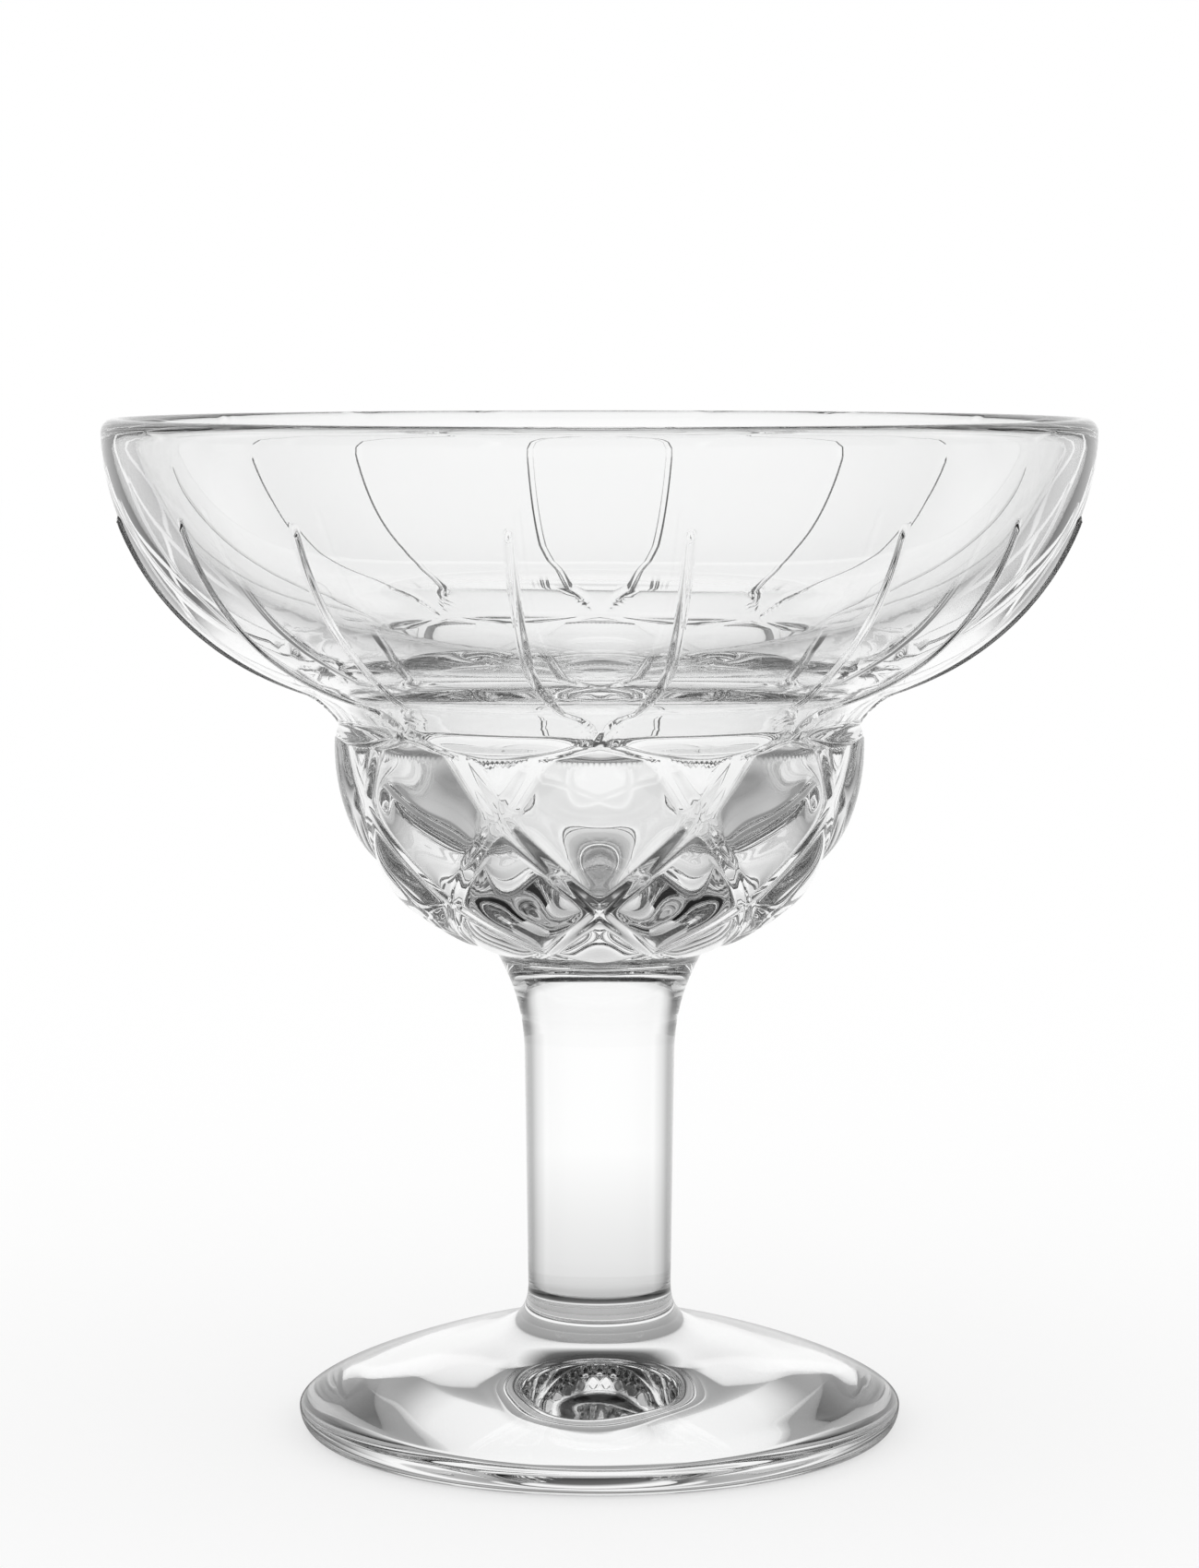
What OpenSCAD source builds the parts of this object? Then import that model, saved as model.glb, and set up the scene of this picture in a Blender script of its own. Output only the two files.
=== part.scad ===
// Pressed-glass margarita glass in three fused pieces: a wide cup over a round bulb, a solid stem,
// and a domed foot. Raised ribs run down the cup in pairs and cross at the waist. From there on they
// run down the bulb as a lattice, in the valleys between raised diamond pads.
// Millimetres, +Z up, with the origin at the centre of the ring that the foot stands on.

/* [Cup] */
// Outer diameter at the rim
rim_d = 116; // [98:1:136]
// Height of the cup, from the widest ring of the bulb to the top of the rim
cup_h = 37.4; // [30:0.2:48]
// Wall thickness at the rim
rim_wall = 3.2; // [2:0.1:4.2]
// Wall thickness at the bottom of the cup
cup_wall = 5.6; // [3:0.1:7]
// Slope of the cup's lower wall, in degrees above level
cup_slope = 19.3; // [10:0.1:32]
// Length of the straight-sided stretch under the rim
cup_side = 6.3; // [2:0.1:12]

/* [Waist] */
// Wall thickness at the widest ring of the bulb
waist_wall = 4.1; // [3:0.1:7]
// Height of the hollow round at the waist
waist_h = 5.6; // [3:0.1:7]
// Width of the hollow round at the waist
waist_w = 4.9; // [2:0.1:6]
// Inner edge of the waist: how far its curve keeps to the slope of the cup
mouth_in = 4.2; // [1:0.1:6]
// Inner edge of the waist: how far its curve keeps to the wall of the bulb
mouth_down = 7; // [1:0.1:8]

/* [Bulb] */
// Outer diameter of the bulb, without its pads
bulb_d = 59.2; // [52:0.2:70]
// Height of the bulb, from the stem joint to its widest ring
bulb_h = 26.4; // [21:0.2:34]
// How far the bulb's side draws in on its way down
bulb_draw = 22.5; // [18:0.1:26]
// Height of the short boss that the stem is fused to
boss_h = 0.9; // [0.4:0.1:2]
// Flare of the boss, from the stem joint to the bulb
boss_flare = 1; // [0.4:0.1:2]
// Thickness of glass under the cavity, measured from the stem joint
floor_t = 8.5; // [5:0.1:14]

/* [Stem] */
// Diameter of the stem at the foot
stem_d = 17; // [12:0.2:21]
// Diameter of the stem just under its flare
stem_neck_d = 17.8; // [12:0.2:21]
// Diameter of the stem where it is fused to the bowl
stem_top_d = 23.4; // [22:0.2:27]
// Length of the stem, from the foot joint to the bowl joint
stem_h = 39; // [20:0.5:70]
// Length of the flare at the top of the stem
flare_h = 11.6; // [6:0.2:16]

/* [Foot] */
// Diameter of the foot
foot_d = 71.6; // [60:0.2:86]
// Height of the foot, with its collar
foot_h = 16.8; // [13:0.2:22]
// Height of the domed part of the foot, under its collar
dome_h = 11.2; // [8:0.2:12]
// Diameter at which the collar runs out into the dome
collar_d = 28.4; // [25:0.2:36]
// Height of the foot's widest ring above the table
foot_edge_h = 2.5; // [1.2:0.1:3.6]
// How far the foot's edge rounds in to the ring that it stands on
foot_edge_w = 1.9; // [1:0.1:3]
// Width of the ring that the foot stands on
ring_w = 4.2; // [2:0.2:8]
// Depth of the hollow under the foot
punt_h = 2.8; // [1:0.1:4]

/* [Ribs] */
// Number of rib pairs around the glass
rib_pairs = 8; // [6:1:10]
// Angle between each rib of the cup and the middle of its pair, in degrees
rib_spread = 9.7; // [6:0.1:12]
// Width of a rib on the cup
rib_w = 1; // [0.7:0.05:1.4]
// Width of a rib on the bulb
rib_low_w = 1.8; // [1.2:0.1:2.4]
// Height of a rib above the glass
rib_h = 0.4; // [0.2:0.05:0.6]

/* [Pads] */
// Height of a pad above the valleys round it
pad_h = 1.5; // [0.6:0.1:2]
// Height of the valleys above the plain bulb
pad_lift = 0.2; // [0.1:0.05:0.4]
// Angle over which a pad swells up from its valley, in degrees
pad_angle = 16; // [8:0.5:20]
// Angle from the middle of a valley to its edge, in degrees
valley_angle = 3.4; // [1:0.1:5]

/* [Hidden] */
$fn = 96;
glass = [0.88, 0.92, 0.92, 0.55];

rim_r = rim_d / 2;
bulb_r = bulb_d / 2;
stem_r = stem_d / 2;
stem_neck_r = stem_neck_d / 2;
stem_top_r = stem_top_d / 2;
foot_r = foot_d / 2;
collar_r = collar_d / 2;

// Heights of the joints and of the main rings
stem_z = foot_h;
bowl_z = stem_z + stem_h;
bulb_z = bowl_z + bulb_h;
rim_z = bulb_z + cup_h;
lip_r = rim_wall / 2;
lip_z = rim_z - lip_r;
floor_z = bowl_z + floor_t;

// Bulb: part of an ellipse that stops where it reaches the boss
bulb_drop = bulb_h - boss_h;
boss_r = stem_top_r + boss_flare;
bulb_sweep = acos(1 - (bulb_r - boss_r) / bulb_draw);

// Curve handles, as shares of the stretch that each one shapes
cup_pull_share = 0.9;
waist_pull_share = 0.28;
flare_low_pull_share = 0.5;
flare_high_pull_share = 0.4;
collar_pull_share = 0.68;
dome_in_pull_share = 0.42;
dome_out_pull_share = 0.8;
dome_slope = 14;

// Steps along each curve
cup_steps = 16;
waist_steps = 8;
mouth_steps = 8;
bulb_steps = 14;
cavity_steps = 14;
lip_steps = 8;
flare_steps = 10;
collar_steps = 8;
dome_steps = 14;
edge_steps = 6;
punt_steps = 10;

// Ribs and lattice: places along the outer curve (cup 0 to 1, waist 1 to 2, bulb 2 to 3)
rib_tip_share = 0.365;
rib_turn_share = 0.88;
rib_bend_share = 0.66;
rib_grow_shares = [1.5, 2.4];
row_shares = [1.67, 2.208, 2.588, 2.905, 2.99];
pad_top_share = 1.66;
nudge_share = 0.002;

// Ribs and lattice: angles, depths and steps
rib_half = 180 / rib_pairs;
row_angles = [0, rib_half, 2 * rib_half, 3 * rib_half, 3.5 * rib_half];
row_blend = 4;
rib_sink = rib_h * 2;
rib_crest_share = 0.55;
rib_smooth_share = 0.09;
rib_cup_steps = 6;
rib_waist_steps = 6;
rib_bulb_steps = 14;
pad_power = 3;
pad_shrink_power = 1.5;
pad_sink = pad_h;
pad_splits = 8;
pad_step = rib_half / pad_splits;
pad_columns = pad_splits * rib_pairs;
pad_rows = 3.5 * pad_splits;
pad_back_step = 4;

// Shared curve functions
function bezier(p, t) = let (s = 1 - t)
    pow(s, 3) * p[0] + 3 * pow(s, 2) * t * p[1] + 3 * s * pow(t, 2) * p[2] + pow(t, 3) * p[3];
function trace(p, steps) = [for (i = [0:steps]) bezier(p, i / steps)];
function unit(v) = v / norm(v);
function around(v, a) = [v[0] * cos(a), v[0] * sin(a), v[1]];

// Outer curve of the bowl, from the rim down to the boss, as [radius, height]
slope_dir = [cos(cup_slope), sin(cup_slope)];
waist_top = [bulb_r + waist_w, bulb_z + waist_h];
waist_pull = waist_pull_share * waist_h;
cup_curve = [
    [rim_r, lip_z],
    [rim_r, lip_z - cup_side],
    waist_top + cup_pull_share * (rim_r - waist_top[0]) * slope_dir,
    waist_top
];
waist_curve = [
    waist_top,
    waist_top - waist_pull * slope_dir,
    [bulb_r, bulb_z + waist_pull],
    [bulb_r, bulb_z]
];
function bulb_at(t) =
    [bulb_r - bulb_draw * (1 - cos(t * bulb_sweep)), bulb_z - bulb_drop * sin(t * bulb_sweep)];
function outer_at(u) =
    u < 1 ? bezier(cup_curve, u) : u < 2 ? bezier(waist_curve, u - 1) : bulb_at(u - 2);
function outer_along(u) = unit(outer_at(u + nudge_share) - outer_at(u - nudge_share));
function outer_normal(u) = let (a = outer_along(u)) [-a[1], a[0]];

// Inner curve: the wall grows steadily down the cup, turns round the waist, and ends in a round floor
function wall_at(z) =
    cup_wall + (rim_wall - cup_wall) * (z - waist_top[1]) / (lip_z - waist_top[1]);
function inner_at(u) = let (p = outer_at(u)) p - wall_at(p[1]) * outer_normal(u);
cavity_r = bulb_r - waist_wall;
cavity_h = bulb_z - floor_z;
mouth_top = inner_at(1);
mouth_curve = [
    mouth_top,
    mouth_top - mouth_in * slope_dir,
    [cavity_r, bulb_z + mouth_down],
    [cavity_r, bulb_z]
];

bowl_outline = concat(
    [[0, bowl_z], [stem_top_r, bowl_z]],
    [for (i = [bulb_steps:-1:1]) outer_at(2 + i / bulb_steps)],
    [for (i = [waist_steps:-1:1]) outer_at(1 + i / waist_steps)],
    [for (i = [cup_steps:-1:0]) outer_at(i / cup_steps)],
    [for (i = [1:lip_steps - 1]) let (a = 180 * i / lip_steps)
        [rim_r - lip_r + lip_r * cos(a), lip_z + lip_r * sin(a)]],
    [[rim_r - rim_wall, lip_z]],
    [for (i = [1:cup_steps - 1]) inner_at(i / cup_steps)],
    trace(mouth_curve, mouth_steps),
    [for (i = [1:cavity_steps]) let (a = 90 * i / cavity_steps)
        [cavity_r * cos(a), bulb_z - cavity_h * sin(a)]]
);

// Ribs: angle from the middle of the pair, width, and the swept body
rib_turns = [
    [rib_tip_share, -rib_spread],
    [rib_turn_share, -rib_spread],
    [1, -rib_bend_share * rib_spread],
    for (i = [0:len(row_shares) - 1]) [row_shares[i], row_angles[i]]
];
function rib_turn(u) = lookup(u, rib_turns);
function rib_angle(u) =
    (rib_turn(u - rib_smooth_share) + 2 * rib_turn(u) + rib_turn(u + rib_smooth_share)) / 4;
function rib_width(u) = lookup(u, [[rib_grow_shares[0], rib_w], [rib_grow_shares[1], rib_low_w]]);
function rib_point(u) = around(outer_at(u), rib_angle(u));
function rib_section(u) = let (
    p = rib_point(u),
    out = around(outer_normal(u), rib_angle(u)),
    along = unit(rib_point(u + nudge_share) - rib_point(u - nudge_share)),
    across = unit(cross(out, along)) * rib_width(u) / 2
) [
    p - across - rib_sink * out,
    p - across * rib_crest_share + rib_h * out,
    p + across * rib_crest_share + rib_h * out,
    p + across - rib_sink * out
];
rib_places = concat(
    [for (i = [0:rib_cup_steps - 1]) rib_tip_share + (1 - rib_tip_share) * i / rib_cup_steps],
    [for (i = [0:rib_waist_steps - 1]) 1 + i / rib_waist_steps],
    [for (i = [0:rib_bulb_steps]) 2 + (row_shares[4] - 2) * i / rib_bulb_steps]
);
rib_steps = len(rib_places) - 1;
rib_points = [for (u = rib_places, q = rib_section(u)) q];
rib_ends = [[2, 1, 0], [3, 2, 0], [1, 2, 0] + rib_steps * [4, 4, 4], [2, 3, 0] + rib_steps * [4, 4, 4]];
function rib_side(i, j) = let (a = 4 * i + j, b = 4 * i + (j + 1) % 4) [[b + 4, a + 4, a], [b, b + 4, a]];
rib_faces = concat(rib_ends, [for (i = [0:rib_steps - 1], j = [0:3], f = rib_side(i, j)) f]);

module rib() {
    polyhedron(rib_points, rib_faces);
}

// Pads: one closed shell round the bulb, whose first and last rings are sunk into the glass.
// Every other ring is half a column further round, so that edges follow the valleys.
row_places = [for (i = [0:len(row_angles) - 1]) [row_angles[i], row_shares[i]]];
function row_place(a) = lookup(a, row_places);
function lattice_place(a) =
    (row_place(a - row_blend) + 2 * row_place(a) + row_place(a + row_blend)) / 4;
function fold(a) = let (turn = a + rib_half, whole = floor(turn / (2 * rib_half)))
    abs(turn - whole * 2 * rib_half - rib_half);
function swell(a) = 1 - pow(1 - min(1, max(0, (a - valley_angle) / pad_angle)), pad_power);
function pad_place(row) = row == 0 ? pad_top_share : lattice_place(row * pad_step);
function pad_shrink(row) = pow(outer_at(pad_place(row))[0] / bulb_r, pad_shrink_power);
function pad_rise(row, a) = let (swing = row * pad_step)
    pad_lift + pad_h * pad_shrink(row) * swell(fold(a - swing)) * swell(fold(a + swing));
function pad_point(row, a, rise) = let (u = pad_place(row)) around(outer_at(u) + rise * outer_normal(u), a);
function pad_angle_at(row, j) = (2 * j + row % 2) * pad_step;
function pad_front(row) = [for (j = [0:pad_columns - 1]) let (a = pad_angle_at(row, j))
    pad_point(row, a, row == 0 || row == pad_rows ? -pad_sink : pad_rise(row, a))];
function pad_back(row) = [for (j = [0:pad_columns - 1]) pad_point(row, pad_angle_at(row, j), -pad_sink)];
pad_back_rows = [for (row = [pad_rows - pad_back_step:-pad_back_step:pad_back_step]) row];
pad_order = concat([for (row = [0:pad_rows]) row], pad_back_rows);
pad_rings = concat([for (row = [0:pad_rows]) pad_front(row)], [for (row = pad_back_rows) pad_back(row)]);
pad_points = [for (ring = pad_rings, q = ring) q];
function pad_strip(i) = let (
    next = (i + 1) % len(pad_order),
    shift = pad_order[i] % 2,
    lean = pad_order[next] % 2,
    n = pad_columns
) [for (j = [0:n - 1]) let (
    k = (j + 1) % n,
    a = i * n + j,
    b = i * n + k,
    c = next * n + j,
    d = next * n + k
) each lean > shift ? [[a, b, c], [b, d, c]] : [[a, d, c], [a, b, d]]];
pad_faces = [for (i = [0:len(pad_order) - 1]) each pad_strip(i)];

module pads() {
    polyhedron(pad_points, pad_faces);
}

module bowl() {
    color(glass) union() {
        rotate_extrude() polygon(bowl_outline);
        rotate([0, 0, -90]) pads();
        for (i = [0:rib_pairs - 1]) rotate([0, 0, i * 2 * rib_half - 90]) {
            rib();
            mirror([0, 1, 0]) rib();
        }
    }
}

stem_flare = [
    [stem_neck_r, bowl_z - flare_h],
    [stem_neck_r, bowl_z - flare_h * (1 - flare_low_pull_share)],
    [
        stem_top_r - (stem_top_r - stem_neck_r) * flare_high_pull_share,
        bowl_z - flare_h * flare_high_pull_share / 2
    ],
    [stem_top_r, bowl_z]
];

module stem() {
    color(glass) rotate_extrude() polygon(concat(
        [[0, stem_z], [stem_r, stem_z]],
        trace(stem_flare, flare_steps),
        [[0, bowl_z]]
    ));
}

dome_dir = [cos(dome_slope), -sin(dome_slope)];
shoulder = [collar_r, dome_h];
collar_w = collar_r - stem_r;
collar_h = foot_h - dome_h;
dome_w = foot_r - collar_r;
dome_drop = dome_h - foot_edge_h;
collar_curve = [
    [stem_r, foot_h],
    [stem_r, foot_h - collar_h * collar_pull_share],
    shoulder - collar_w * collar_pull_share * dome_dir,
    shoulder
];
dome_curve = [
    shoulder,
    shoulder + dome_w * dome_in_pull_share * dome_dir,
    [foot_r, foot_edge_h + dome_drop * (1 - dome_out_pull_share)],
    [foot_r, foot_edge_h]
];
stand_r = foot_r - foot_edge_w;
punt_r = stand_r - ring_w;

module foot() {
    color(glass) rotate_extrude() polygon(concat(
        [[0, foot_h]],
        trace(collar_curve, collar_steps),
        [for (i = [1:dome_steps]) bezier(dome_curve, i / dome_steps)],
        [for (i = [1:edge_steps]) let (a = 90 * i / edge_steps)
            [stand_r + foot_edge_w * cos(a), foot_edge_h * (1 - sin(a))]],
        [for (i = [0:punt_steps]) let (s = 1 - i / punt_steps)
            [punt_r * s, punt_h * (1 - pow(s, 2))]]
    ));
}

bowl();
stem();
foot();
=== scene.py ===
import math

import bpy
import numpy as np
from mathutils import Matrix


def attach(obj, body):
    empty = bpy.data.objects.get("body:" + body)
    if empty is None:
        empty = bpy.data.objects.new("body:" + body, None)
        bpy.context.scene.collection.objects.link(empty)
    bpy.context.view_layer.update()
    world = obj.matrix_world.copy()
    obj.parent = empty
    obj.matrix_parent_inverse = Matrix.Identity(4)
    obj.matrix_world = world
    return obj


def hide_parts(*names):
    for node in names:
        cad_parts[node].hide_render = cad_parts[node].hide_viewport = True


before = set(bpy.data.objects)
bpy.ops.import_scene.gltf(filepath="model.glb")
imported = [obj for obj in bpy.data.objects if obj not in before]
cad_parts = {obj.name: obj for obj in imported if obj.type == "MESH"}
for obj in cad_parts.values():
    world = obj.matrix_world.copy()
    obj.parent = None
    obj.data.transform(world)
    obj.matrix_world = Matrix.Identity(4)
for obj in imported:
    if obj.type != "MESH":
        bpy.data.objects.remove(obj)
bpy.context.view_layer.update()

MM = 0.001

# Sizes in millimetres and angles in degrees, under the names that the part's source uses
RIM_D = 116.0
CUP_H = 37.4
RIM_WALL = 3.2
CUP_WALL = 5.6
CUP_SLOPE = 19.3
CUP_SIDE = 6.3
WAIST_WALL = 4.1
WAIST_H = 5.6
WAIST_W = 4.9
MOUTH_IN = 4.2
MOUTH_DOWN = 7.0
BULB_D = 59.2
BULB_H = 26.4
BULB_DRAW = 22.5
BOSS_H = 0.9
BOSS_FLARE = 1.0
FLOOR_T = 8.5
STEM_D = 17.0
STEM_NECK_D = 17.8
STEM_TOP_D = 23.4
STEM_H = 39.0
FLARE_H = 11.6
FOOT_D = 71.6
FOOT_H = 16.8
DOME_H = 11.2
DOME_SLOPE = 14.0
COLLAR_D = 28.4
FOOT_EDGE_H = 2.5
FOOT_EDGE_W = 1.9
RING_W = 4.2
PUNT_H = 2.8
RIB_SPREAD = 9.7
RIB_W = 1.0
RIB_LOW_W = 1.8
RIB_H = 0.4
PAD_H = 1.5
PAD_LIFT = 0.2
PAD_ANGLE = 16.0
VALLEY_ANGLE = 3.4

# Curve handles, as shares of the stretch that each one shapes
CUP_PULL = 0.9
WAIST_PULL = 0.28
FLARE_LOW_PULL = 0.5
FLARE_HIGH_PULL = 0.4
COLLAR_PULL = 0.68
DOME_IN_PULL = 0.42
DOME_OUT_PULL = 0.8

# Ribs and lattice: places along the outer curve (cup 0 to 1, waist 1 to 2, bulb 2 to 3)
RIB_PAIRS = 8
RIB_TIP = 0.365
RIB_TURN = 0.88
RIB_SMOOTH = 0.09
RIB_GROW = (1.5, 2.4)
ROW_PLACES = (1.67, 2.208, 2.588, 2.905, 2.99)
PAD_TOP = 1.66

# Angles round the axis, in degrees, at which the lattice lines reach those rows
PERIOD = 360 / RIB_PAIRS
HALF = PERIOD / 2
ROW_ANGLES = (0, HALF, 2 * HALF, 3 * HALF, 3.5 * HALF)
ROW_BLEND = 4.0

# Shares and powers that shape the relief
RIB_BEND = 0.66
RIB_CREST = 1.25
PAD_POWER = 3.0
PAD_SHRINK = 1.5

# Finish in millimetres: the pads' rounded ends, and the slight unevenness that pressing leaves
PAD_EDGE = 0.8
INNER_SWAY = 0.08
INNER_SWAY_RUN = 15.0
UNDER_SWAY = 0.048
UNDER_SWAY_FROM = 15.0
UNDER_SWAY_RISE = 6.0
UNDER_SWAY_FALL = 4.0

# Mesh resolution: the lattice is meshed along its own lines, so the valleys stay clean
COLUMNS_PER_PAIR = 40
COLUMNS = COLUMNS_PER_PAIR * RIB_PAIRS
STEP = PERIOD / COLUMNS_PER_PAIR / 2
LATTICE_ROWS = round(ROW_ANGLES[-1] / STEP)
CUP_ROWS = 72
LIP_ROWS = 12
INNER_ROWS = 26
MOUTH_ROWS = 24
CAVITY_ROWS = 34
PLAIN_COLUMNS = 256
STEM_ROWS = 12
FLARE_POINTS = 40
COLLAR_POINTS = 40
DOME_POINTS = 60
EDGE_POINTS = 13
PUNT_POINTS = 41
FINE_STEPS = 4000
NUDGE = 2e-3

# Columns of the cup are drawn together round the ribs, and are even again below the waist's top
DRAWN_SHARES = (0, 0.3, 0.7, 1)
DRAWN_REACH = 0.75
EVEN_FROM = 1.2
EVEN_RUN = 0.4

# Heights and radii that follow from the sizes
RIM_R = RIM_D / 2
BULB_R = BULB_D / 2
STEM_R = STEM_D / 2
NECK_R = STEM_NECK_D / 2
JOINT_R = STEM_TOP_D / 2
FOOT_R = FOOT_D / 2
COLLAR_R = COLLAR_D / 2
STEM_Z = FOOT_H
BOWL_Z = STEM_Z + STEM_H
BULB_Z = BOWL_Z + BULB_H
RIM_Z = BULB_Z + CUP_H
LIP_R = RIM_WALL / 2
LIP_Z = RIM_Z - LIP_R
FLOOR_Z = BOWL_Z + FLOOR_T
BULB_DROP = BULB_H - BOSS_H
BULB_SWEEP = math.acos(1 - (BULB_R - JOINT_R - BOSS_FLARE) / BULB_DRAW)


def along(angle):
    """Direction in the profile plane at an angle in degrees above level."""
    turn = math.radians(angle)
    return np.array([math.cos(turn), math.sin(turn)])


def bezier(points, t):
    """Points on a cubic curve."""
    t = np.asarray(t, float)[..., None]
    a, b, c, d = np.asarray(points, float)
    return (1 - t) ** 3 * a + 3 * (1 - t) ** 2 * t * b + 3 * (1 - t) * t ** 2 * c + t ** 3 * d


WAIST_TOP = np.array([BULB_R + WAIST_W, BULB_Z + WAIST_H])
CUP_CURVE = (
    (RIM_R, LIP_Z),
    (RIM_R, LIP_Z - CUP_SIDE),
    WAIST_TOP + CUP_PULL * (RIM_R - WAIST_TOP[0]) * along(CUP_SLOPE),
    WAIST_TOP,
)
WAIST_CURVE = (
    WAIST_TOP,
    WAIST_TOP - WAIST_PULL * WAIST_H * along(CUP_SLOPE),
    (BULB_R, BULB_Z + WAIST_PULL * WAIST_H),
    (BULB_R, BULB_Z),
)


def outer_at(u):
    """Outer curve of the bowl as (radius, height)."""
    u = np.asarray(u, float)
    turn = (u - 2) * BULB_SWEEP
    radius = BULB_R - BULB_DRAW * (1 - np.cos(turn))
    bulb = np.stack([radius, BULB_Z - BULB_DROP * np.sin(turn)], -1)
    waist = np.where((u < 2)[..., None], bezier(WAIST_CURVE, u - 1), bulb)
    return np.where((u < 1)[..., None], bezier(CUP_CURVE, u), waist)


def normal_at(u):
    """Direction out of the glass on the outer curve."""
    u = np.asarray(u, float)
    run = outer_at(u + NUDGE) - outer_at(u - NUDGE)
    run /= np.linalg.norm(run, axis=-1, keepdims=True)
    return np.stack([-run[..., 1], run[..., 0]], -1)


def inner_at(u):
    """Inner curve of the cup: the wall grows steadily from the rim down to the waist."""
    point = outer_at(u)
    share = (point[..., 1] - WAIST_TOP[1]) / (LIP_Z - WAIST_TOP[1])
    wall = CUP_WALL + (RIM_WALL - CUP_WALL) * share
    return point - wall[..., None] * normal_at(u)


def mouth_curve():
    """Rounded edge where the inside of the cup turns down into the bulb."""
    start = inner_at(1.0 - NUDGE)
    end = np.array([BULB_R - WAIST_WALL, BULB_Z])
    return start, start - MOUTH_IN * along(CUP_SLOPE), end + (0, MOUTH_DOWN), end


def cavity_at(t):
    """Lower part of the inside, from the widest ring of the bulb to the middle of its floor."""
    turn = np.asarray(t, float) * math.pi / 2
    return np.stack([(BULB_R - WAIST_WALL) * np.cos(turn), BULB_Z - (BULB_Z - FLOOR_Z) * np.sin(turn)], -1)


def run_length(curve, low, high):
    """Parameters and lengths along a curve, for even spacing."""
    t = np.linspace(low, high, FINE_STEPS + 1)
    gaps = np.linalg.norm(np.diff(curve(t), axis=0), axis=1)
    return t, np.concatenate([[0], np.cumsum(gaps)])


def even_steps(curve, low, high, count):
    """Parameters that part a curve into steps of one length."""
    t, length = run_length(curve, low, high)
    return np.interp(np.linspace(0, length[-1], count + 1), length, t)


OUTER_U, OUTER_LENGTH = run_length(outer_at, 0, 3)


def length_at(u):
    """Length along the outer curve, from the rim."""
    return np.interp(u, OUTER_U, OUTER_LENGTH)


def ease(x):
    """Rises from 0 to 1, level at both ends."""
    x = np.clip(x, 0, 1)
    return x * x * (3 - 2 * x)


def swell(x, power=2):
    """Rises from 0 to 1 and levels off."""
    return 1 - (1 - np.clip(x, 0, 1)) ** power


def rib_angle(u):
    """Angle of a cup rib from the middle of its pair, down to where the two cross."""
    places = (RIB_TIP, RIB_TURN, 1, ROW_PLACES[0])
    angles = (RIB_SPREAD, RIB_SPREAD, RIB_BEND * RIB_SPREAD, 0)
    near = np.interp(u - RIB_SMOOTH, places, angles) + np.interp(u + RIB_SMOOTH, places, angles)
    return (near + 2 * np.interp(u, places, angles)) / 4


def lattice_place(angle):
    """Place along the outer curve where a lattice line has swung round by an angle."""
    near = np.interp(angle - ROW_BLEND, ROW_ANGLES, ROW_PLACES)
    near += np.interp(angle + ROW_BLEND, ROW_ANGLES, ROW_PLACES)
    return (near + 2 * np.interp(angle, ROW_ANGLES, ROW_PLACES)) / 4


def fold(angle):
    """Angle to the nearest multiple of the period."""
    return (angle + HALF) % PERIOD - HALF


def rib_relief(u, gap):
    """Height of a rib at a sideways gap from its middle, rounded off at its tip."""
    tip = np.maximum(0, length_at(RIB_TIP) - length_at(u))
    width = np.interp(u, RIB_GROW, (RIB_W, RIB_LOW_W))
    rise = 1 - (gap ** 2 + tip ** 2) / (width / 2) ** 2
    end = (length_at(ROW_PLACES[-1]) - length_at(u)) / PAD_EDGE
    return RIB_H * np.clip(RIB_CREST * rise, 0, 1) * swell(end)


def pad_relief(u, swings):
    """Height of the raised pads, from the angles to the two nearest lattice lines."""
    height = (outer_at(u)[0] / BULB_R) ** PAD_SHRINK
    for swing in swings:
        height = height * swell((swing - VALLEY_ANGLE) / PAD_ANGLE, PAD_POWER)
    low_edge = (length_at(ROW_PLACES[-1]) - length_at(u)) / PAD_EDGE
    top_edge = (length_at(u) - length_at(PAD_TOP)) / PAD_EDGE
    return (PAD_LIFT + PAD_H * height) * swell(low_edge) * swell(top_edge)


def ring(angles, radius, height):
    """Points round the axis; angle 0 faces the camera."""
    turn = np.radians(angles - 90)
    radius = np.broadcast_to(radius, turn.shape)
    height = np.broadcast_to(height, turn.shape)
    return np.stack([radius * np.cos(turn), radius * np.sin(turn), height], -1)


def sway(turn, place):
    """Two slow waves round the axis that wander with the place."""
    return np.sin(3 * turn + place / 7) + 0.7 * np.sin(5 * turn - place / 5 + 1)


def inner_ring(angles, radius, height):
    """One ring of the inside, a little uneven between the rim and the middle of the floor."""
    share = ease(radius / INNER_SWAY_RUN) * ease((LIP_Z - height) / CUP_H)
    return ring(angles, radius + INNER_SWAY * sway(np.radians(angles), height) * share, height)


def raised_ring(angles, u, relief):
    """One ring of the outside, raised from the outer curve."""
    point = outer_at(u)
    out = normal_at(u)
    return ring(angles, point[0] + relief * out[0], point[1] + relief * out[1])


def lattice_ring(row):
    """One ring of the lattice mesh; every other ring is half a column further round."""
    swing = row * STEP
    u = lattice_place(swing)
    angles = np.arange(COLUMNS) * 2 * STEP + row % 2 * STEP
    ends = outer_at(lattice_place(np.array([swing - STEP, swing + STEP])))
    rise = np.linalg.norm(ends[1] - ends[0]) / math.radians(2 * STEP)
    radius = outer_at(u)[0]
    to_gap = math.radians(1) * radius * rise / math.hypot(rise, radius)
    swings = [np.abs(fold(angles - swing)), np.abs(fold(angles + swing))]
    relief = np.maximum(pad_relief(u, swings), rib_relief(u, np.minimum(*swings) * to_gap))
    return raised_ring(angles, u, relief)


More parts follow.
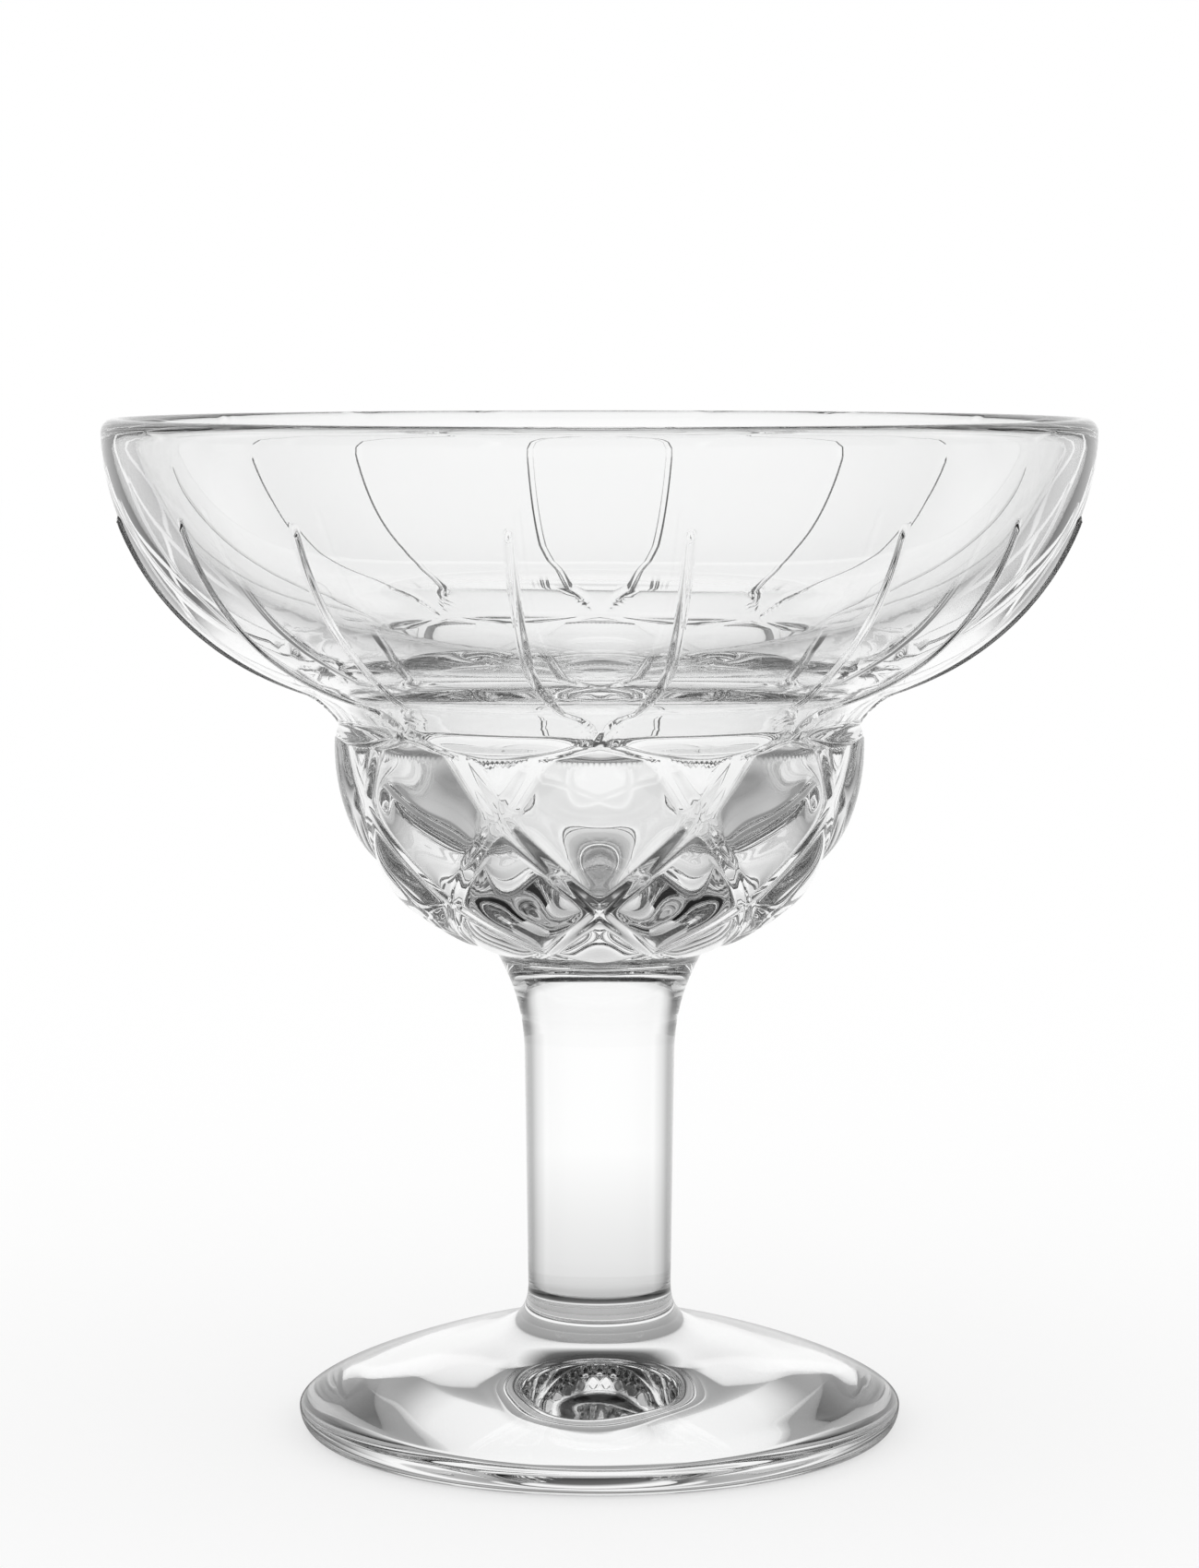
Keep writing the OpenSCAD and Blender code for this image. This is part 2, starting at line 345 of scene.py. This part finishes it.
def cup_ring(u):
    """One ring of the cup or waist, with its columns drawn together round the ribs."""
    even = np.arange(COLUMNS) * 2 * STEP
    share = np.abs(fold(even)) / HALF
    middle = rib_angle(u)
    radius = outer_at(u)[0]
    reach = math.degrees(DRAWN_REACH * RIB_W / radius)
    knots = (0, max(middle - reach, 0), middle + reach, HALF)
    drawn = np.interp(share, DRAWN_SHARES, knots)
    loose = ease((u - EVEN_FROM) / EVEN_RUN)
    folded = drawn * (1 - loose) + share * HALF * loose
    angles = even - fold(even) + np.copysign(folded, fold(even))
    gap = np.abs(folded - middle) * math.radians(1) * radius
    slant = (rib_angle(u + NUDGE) - rib_angle(u - NUDGE)) * math.radians(1) * radius
    run = length_at(u + NUDGE) - length_at(u - NUDGE)
    relief = rib_relief(u, gap * run / math.hypot(run, slant))
    return raised_ring(angles, u, relief)


def quads(first, second, columns):
    """Faces between two rings, given the index of each ring's first point."""
    j = np.arange(columns)
    k = (j + 1) % columns
    return np.stack([first + j, first + k, second + k, second + j], -1).tolist()


def fan(start, columns, middle, up):
    """Triangles from a ring to the point in its middle."""
    j = np.arange(columns)
    k = (j + 1) % columns
    pair = (start + j, start + k) if up else (start + k, start + j)
    return np.stack([*pair, np.full(columns, middle)], -1).tolist()


def lattice_faces(starts):
    """Diamond faces between rings listed from the top down, with triangles at both ends."""
    j = np.arange(COLUMNS)
    faces = []
    for row in range(len(starts) - 1):
        left = (j - 1 + row % 2) % COLUMNS
        right = (left + 1) % COLUMNS
        low = starts[row + 1]
        if row + 2 < len(starts):
            faces += np.stack([starts[row + 2] + j, low + right, starts[row] + j, low + left], -1).tolist()
        else:
            faces += np.stack([low + left, low + right, starts[row] + j], -1).tolist()
    k = (j + 1) % COLUMNS
    faces += np.stack([starts[1] + j, starts[0] + k, starts[0] + j], -1).tolist()
    return faces


def bowl_mesh():
    """Points and faces of the bowl; the last faces are the joint to the stem."""
    low_shift = LATTICE_ROWS % 2 * STEP
    even = np.arange(COLUMNS) * 2 * STEP
    rings = [ring(even + low_shift, JOINT_R, BOWL_Z), raised_ring(even + low_shift, 3.0, 0.0)]
    lattice = [lattice_ring(row) for row in range(LATTICE_ROWS, -1, -1)]
    places = even_steps(outer_at, 0, float(lattice_place(0.0)), CUP_ROWS)
    cup = [cup_ring(u) for u in places[-2::-1]]
    for k in range(1, LIP_ROWS):
        turn = math.pi * k / LIP_ROWS
        cup.append(ring(even, RIM_R - LIP_R + LIP_R * math.cos(turn), LIP_Z + LIP_R * math.sin(turn)))
    inside = inner_at(even_steps(inner_at, 0, 1 - NUDGE, INNER_ROWS)).tolist()
    inside += bezier(mouth_curve(), np.linspace(0, 1, MOUTH_ROWS + 1))[1:].tolist()
    inside += cavity_at(even_steps(cavity_at, 0, 1, CAVITY_ROWS))[1:-1].tolist()
    cup += [inner_ring(even, radius, height) for radius, height in inside]
    starts = np.arange(len(rings + lattice + cup)) * COLUMNS
    first = len(rings)
    last = first + len(lattice) - 1
    faces = []
    for i in list(range(first)) + list(range(last, len(starts) - 1)):
        faces += quads(starts[i], starts[i + 1], COLUMNS)
    faces += lattice_faces(starts[first:last + 1][::-1])
    count = len(starts) * COLUMNS
    faces += fan(starts[-1], COLUMNS, count, True)
    faces += fan(starts[0], COLUMNS, count + 1, False)
    points = np.concatenate(rings + lattice + cup + [[[0, 0, FLOOR_Z], [0, 0, BOWL_Z]]])
    return points, faces, COLUMNS


def turned_mesh(profile, low, high):
    """Points and faces of a turned solid from its profile, closed on the axis at two heights."""
    even = np.arange(PLAIN_COLUMNS) * 360 / PLAIN_COLUMNS
    rings = [ring(even, radius, height) for radius, height in profile]
    faces = []
    for i in range(len(rings) - 1):
        faces += quads(i * PLAIN_COLUMNS, (i + 1) * PLAIN_COLUMNS, PLAIN_COLUMNS)
    count = len(rings) * PLAIN_COLUMNS
    low_fan = fan(0, PLAIN_COLUMNS, count, False)
    high_fan = fan(count - PLAIN_COLUMNS, PLAIN_COLUMNS, count + 1, True)
    points = np.concatenate(rings + [[[0, 0, low], [0, 0, high]]])
    return points, faces, low_fan, high_fan


def stem_mesh():
    """Points and faces of the stem; the last faces are its joints to the foot and the bowl."""
    rise = STEM_H - FLARE_H
    shares = np.arange(STEM_ROWS) / STEM_ROWS
    straight = [(STEM_R + (NECK_R - STEM_R) * share, STEM_Z + rise * share) for share in shares]
    flare = bezier((
        (NECK_R, BOWL_Z - FLARE_H),
        (NECK_R, BOWL_Z - FLARE_H * (1 - FLARE_LOW_PULL)),
        (JOINT_R - (JOINT_R - NECK_R) * FLARE_HIGH_PULL, BOWL_Z - FLARE_H * FLARE_HIGH_PULL / 2),
        (JOINT_R, BOWL_Z),
    ), np.linspace(0, 1, FLARE_POINTS))
    points, faces, low, high = turned_mesh(straight + flare.tolist(), STEM_Z, BOWL_Z)
    return points, faces + low + high, 2 * PLAIN_COLUMNS


def foot_mesh():
    """Points and faces of the foot; the last faces are the joint to the stem."""
    slope = along(-DOME_SLOPE)
    shoulder = np.array([COLLAR_R, DOME_H])
    collar = bezier((
        (STEM_R, FOOT_H),
        (STEM_R, FOOT_H - (FOOT_H - DOME_H) * COLLAR_PULL),
        shoulder - (COLLAR_R - STEM_R) * COLLAR_PULL * slope,
        shoulder,
    ), np.linspace(0, 1, COLLAR_POINTS))
    dome = bezier((
        shoulder,
        shoulder + (FOOT_R - COLLAR_R) * DOME_IN_PULL * slope,
        (FOOT_R, FOOT_EDGE_H + (DOME_H - FOOT_EDGE_H) * (1 - DOME_OUT_PULL)),
        (FOOT_R, FOOT_EDGE_H),
    ), np.linspace(0, 1, DOME_POINTS))
    turn = np.linspace(0, math.pi / 2, EDGE_POINTS)
    stand_r = FOOT_R - FOOT_EDGE_W
    edge = np.stack([stand_r + FOOT_EDGE_W * np.cos(turn), FOOT_EDGE_H * (1 - np.sin(turn))], -1)
    share = np.linspace(0, 1, PUNT_POINTS)
    punt_r = stand_r - RING_W
    punt = np.stack([punt_r * (1 - share), PUNT_H * (1 - (1 - share) ** 2)], -1)
    profile = np.concatenate([collar, dome[1:], edge[1:], punt[:-1]])[::-1]
    points, faces, low, high = turned_mesh(profile.tolist(), PUNT_H, FOOT_H)
    under = points[:len(punt) * PLAIN_COLUMNS]
    radius = np.hypot(under[:, 0], under[:, 1])
    share = ease((radius - UNDER_SWAY_FROM) / UNDER_SWAY_RISE) * ease((punt_r - radius) / UNDER_SWAY_FALL)
    under[:, 2] += UNDER_SWAY * sway(np.arctan2(under[:, 1], under[:, 0]), 2 * radius) * share
    return points, faces + low + high, PLAIN_COLUMNS


def glass_piece(name, node, mesh_data, glass, seam):
    """A closed mesh whose last faces are the joint, where the glass runs on without a surface."""
    points, faces, joint = mesh_data
    mesh = bpy.data.meshes.new(name)
    mesh.from_pydata((np.asarray(points) * MM).tolist(), [], faces)
    at_joint = np.arange(len(faces)) >= len(faces) - joint
    mesh.polygons.foreach_set("material_index", at_joint.astype(np.int32))
    mesh.polygons.foreach_set("use_smooth", ~at_joint)
    uses = np.zeros(len(mesh.edges), int)
    for polygon in mesh.polygons[len(faces) - joint:]:
        for loop in polygon.loop_indices:
            uses[mesh.loops[loop].edge_index] += 1
    sharp = mesh.attributes.new("sharp_edge", "BOOLEAN", "EDGE")
    sharp.data.foreach_set("value", uses == 1)
    mesh.materials.append(glass)
    mesh.materials.append(seam)
    mesh.update()
    piece = bpy.data.objects.new(name, mesh)
    bpy.context.collection.objects.link(piece)
    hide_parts(node)
    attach(piece, "root")


def glass_material():
    """Clear pressed glass: a faint waviness from the mould, and a little haze that comes and goes."""
    material = bpy.data.materials.new("clear_glass")
    material.use_nodes = True
    nodes = material.node_tree.nodes
    links = material.node_tree.links
    shader = nodes["Principled BSDF"]
    shader.inputs["Base Color"].default_value = (0.998, 1.0, 0.999, 1)
    shader.inputs["Transmission Weight"].default_value = 1.0
    shader.inputs["IOR"].default_value = 1.5
    shader.inputs["Specular IOR Level"].default_value = 0.25
    place = nodes.new("ShaderNodeTexCoord")
    waves = nodes.new("ShaderNodeTexNoise")
    waves.inputs["Scale"].default_value = 90.0
    waves.inputs["Detail"].default_value = 1.0
    bump = nodes.new("ShaderNodeBump")
    bump.inputs["Strength"].default_value = 0.02
    bump.inputs["Distance"].default_value = 0.0004
    haze = nodes.new("ShaderNodeTexNoise")
    haze.inputs["Scale"].default_value = 45.0
    level = nodes.new("ShaderNodeMapRange")
    level.inputs["From Min"].default_value = 0.45
    level.inputs["From Max"].default_value = 0.8
    level.inputs["To Max"].default_value = 0.006
    links.new(place.outputs["Object"], waves.inputs["Vector"])
    links.new(place.outputs["Object"], haze.inputs["Vector"])
    links.new(waves.outputs["Fac"], bump.inputs["Height"])
    links.new(bump.outputs["Normal"], shader.inputs["Normal"])
    links.new(haze.outputs["Fac"], level.inputs["Value"])
    links.new(level.outputs["Result"], shader.inputs["Roughness"])
    return material


def seam_material():
    """The fused joints: two pieces of glass meet here with nothing to see between them."""
    material = bpy.data.materials.new("fused_joint")
    material.use_nodes = True
    material.node_tree.nodes["Principled BSDF"].inputs["Alpha"].default_value = 0.0
    return material


# Light round the glass, from 0 (in front of it) to 1 (behind it): darker to each side
ROUND_LIGHT = (
    (0, 0.6), (0.12, 0.5), (0.2, 0.1), (0.5, 0.06), (0.7, 0.1), (0.79, 0.3), (0.86, 0.8), (0.9, 1),
)
# Painted shade on the floor as the glass sees it, by compass direction like the light round the glass, a
# little brighter square to the sides
PAINTED_FLOOR_SHADE = (
    (0, 0.95), (0.15, 0.85), (0.3, 0.5), (0.42, 0.4), (0.48, 0.7), (0.52, 0.7), (0.58, 0.35),
    (0.7, 0.3), (0.79, 0.45), (0.86, 0.8), (0.92, 1),
)
# Light upwards, from 0 (straight down) to 1 (straight up)
HIGH_LIGHT = ((0.5, 1), (0.68, 1), (0.76, 0.5), (0.82, 0.15), (0.9, 0.04), (1, 0.03))
# Painted shadow on the floor as the glass sees it, by the distance in metres from the stem's axis: dark
# where the glass stands
PAINTED_FLOOR_SHADOW = ((0, 0.04), (0.012, 0.08), (0.02, 0.3), (0.036, 0.45), (0.06, 0.66), (0.1, 0.8), (0.19, 1))
# Half the floor's width, and the gap that keeps it clear of the standing ring, in metres
FLOOR_REACH = 3.0
FLOOR_GAP = 0.05 * MM
HALF_STEP = (0.5, 0.5, 0.5)


def vector_step(nodes, links, operation, source, *values):
    """One vector operation on a source, with fixed values in its other inputs."""
    step = nodes.new("ShaderNodeVectorMath")
    step.operation = operation
    links.new(source, step.inputs[0])
    for slot, value in enumerate(values, 1):
        step.inputs[slot].default_value = value
    return step.outputs["Value" if operation == "LENGTH" else "Vector"]


def share_along(nodes, links, direction, axis):
    """How far a direction points along an axis, from 0 (against it) to 1 (with it)."""
    halved = vector_step(nodes, links, "MULTIPLY_ADD", direction, HALF_STEP, HALF_STEP)
    split = nodes.new("ShaderNodeSeparateXYZ")
    links.new(halved, split.inputs["Vector"])
    return split.outputs[axis]


def light_by(nodes, links, source, stops):
    """Grey light that follows a value from stop to stop."""
    ramp = nodes.new("ShaderNodeValToRGB")
    elements = ramp.color_ramp.elements
    elements.remove(elements[1])
    elements[0].position = stops[0][0]
    elements[0].color = (stops[0][1],) * 3 + (1,)
    for position, level in stops[1:]:
        elements.new(position).color = (level,) * 3 + (1,)
    links.new(source, ramp.inputs["Fac"])
    return ramp.outputs["Color"]


def round_light(nodes, links, source, stops):
    """Light that depends on the compass direction alone."""
    level = vector_step(nodes, links, "MULTIPLY", source, (1, 1, 0))
    toward = vector_step(nodes, links, "NORMALIZE", level)
    return light_by(nodes, links, share_along(nodes, links, toward, "Y"), stops)


def product(nodes, links, first, second):
    """The product of two colours."""
    both = nodes.new("ShaderNodeMix")
    both.data_type = "RGBA"
    both.blend_type = "MULTIPLY"
    both.inputs["Factor"].default_value = 1.0
    links.new(first, both.inputs["A"])
    links.new(second, both.inputs["B"])
    return both.outputs["Result"]


def either_ray(nodes, links, first, second):
    """1 for a ray of one of two kinds, and 0 for the rest."""
    path = nodes.new("ShaderNodeLightPath")
    either = nodes.new("ShaderNodeMath")
    either.operation = "MAXIMUM"
    links.new(path.outputs[first], either.inputs[0])
    links.new(path.outputs[second], either.inputs[1])
    return either.outputs["Value"]


def paper_with_painted_shadow():
    """Pale paper with an even white glow, as camera and diffuse rays see it. Glass rays see a glowing sheet
    with painted shade instead: bright behind the glass and in front of it, darker to the sides, and a
    painted shadow dark where it stands.
    """
    material = bpy.data.materials.new("floor_paper_painted_shadow")
    material.use_nodes = True
    nodes = material.node_tree.nodes
    links = material.node_tree.links
    paper = nodes["Principled BSDF"]
    paper.inputs["Base Color"].default_value = (0.4, 0.4, 0.4, 1)
    paper.inputs["Emission Color"].default_value = (1, 1, 1, 1)
    paper.inputs["Emission Strength"].default_value = 0.6
    paper.inputs["Roughness"].default_value = 1.0
    paper.inputs["Specular IOR Level"].default_value = 0.0
    place = nodes.new("ShaderNodeTexCoord").outputs["Object"]
    # Painted shade by compass direction times a painted shadow by distance from the stem, shown as the
    # floor's glow to glass rays
    around = round_light(nodes, links, place, PAINTED_FLOOR_SHADE)
    near = light_by(nodes, links, vector_step(nodes, links, "LENGTH", place), PAINTED_FLOOR_SHADOW)
    painted_floor_glow = nodes.new("ShaderNodeEmission")
    pick = nodes.new("ShaderNodeMixShader")
    links.new(product(nodes, links, around, near), painted_floor_glow.inputs["Color"])
    # Transmission and glossy rays see the painted glow; camera and diffuse rays see the paper
    links.new(either_ray(nodes, links, "Is Transmission Ray", "Is Glossy Ray"), pick.inputs["Fac"])
    links.new(paper.outputs["BSDF"], pick.inputs[1])
    links.new(painted_floor_glow.outputs["Emission"], pick.inputs[2])
    links.new(pick.outputs["Shader"], nodes["Material Output"].inputs["Surface"])
    return material


def make_floor():
    """A wide sheet of paper under the glass, carrying the painted shade and painted shadow that the glass
    sees.
    """
    square = ((-1, -1), (1, -1), (1, 1), (-1, 1))
    mesh = bpy.data.meshes.new("floor")
    mesh.from_pydata([(x * FLOOR_REACH, y * FLOOR_REACH, -FLOOR_GAP) for x, y in square], [], [(0, 1, 2, 3)])
    mesh.materials.append(paper_with_painted_shadow())
    floor = bpy.data.objects.new("floor", mesh)
    bpy.context.collection.objects.link(floor)


def make_world():
    """A bright sweep behind the glass in a darker room; plain white for the camera and the floor."""
    world = bpy.data.worlds.new("studio")
    bpy.context.scene.world = world
    world.use_nodes = True
    world.cycles.sampling_method = "NONE"
    nodes = world.node_tree.nodes
    links = world.node_tree.links
    toward = nodes.new("ShaderNodeTexCoord").outputs["Generated"]
    around = round_light(nodes, links, toward, ROUND_LIGHT)
    high = light_by(nodes, links, share_along(nodes, links, toward, "Z"), HIGH_LIGHT)
    pick = nodes.new("ShaderNodeMix")
    pick.data_type = "RGBA"
    pick.inputs["B"].default_value = (1, 1, 1, 1)
    links.new(product(nodes, links, around, high), pick.inputs["A"])
    links.new(either_ray(nodes, links, "Is Camera Ray", "Is Diffuse Ray"), pick.inputs["Factor"])
    links.new(pick.outputs["Result"], nodes["Background"].inputs["Color"])


# Camera fitted to the photograph's outlines: place in metres, tilt down in degrees, lens in millimetres
CAMERA_PLACE = (0, -0.49588, 0.12794)
CAMERA_TILT = 5.919
CAMERA_LENS = 126.88
SENSOR_W = 36.0
NEAREST = 0.01


def make_camera():
    """The photograph's view, from in front and a little above."""
    camera = bpy.data.cameras.new("camera")
    camera.sensor_fit = "HORIZONTAL"
    camera.sensor_width = SENSOR_W
    camera.lens = CAMERA_LENS
    camera.clip_start = NEAREST
    holder = bpy.data.objects.new("camera", camera)
    holder.location = CAMERA_PLACE
    holder.rotation_euler = (math.radians(90 - CAMERA_TILT), 0, 0)
    bpy.context.collection.objects.link(holder)
    bpy.context.scene.camera = holder


scene = bpy.context.scene
scene.view_settings.view_transform = "Standard"
scene.cycles.max_bounces = 32
scene.cycles.transmission_bounces = 32
scene.cycles.transparent_max_bounces = 32
scene.cycles.glossy_bounces = 16

clear_glass = glass_material()
fused_joint = seam_material()
glass_piece("bowl_glass", "bowl", bowl_mesh(), clear_glass, fused_joint)
glass_piece("stem_glass", "stem", stem_mesh(), clear_glass, fused_joint)
glass_piece("foot_glass", "foot", foot_mesh(), clear_glass, fused_joint)
make_floor()
make_world()
make_camera()
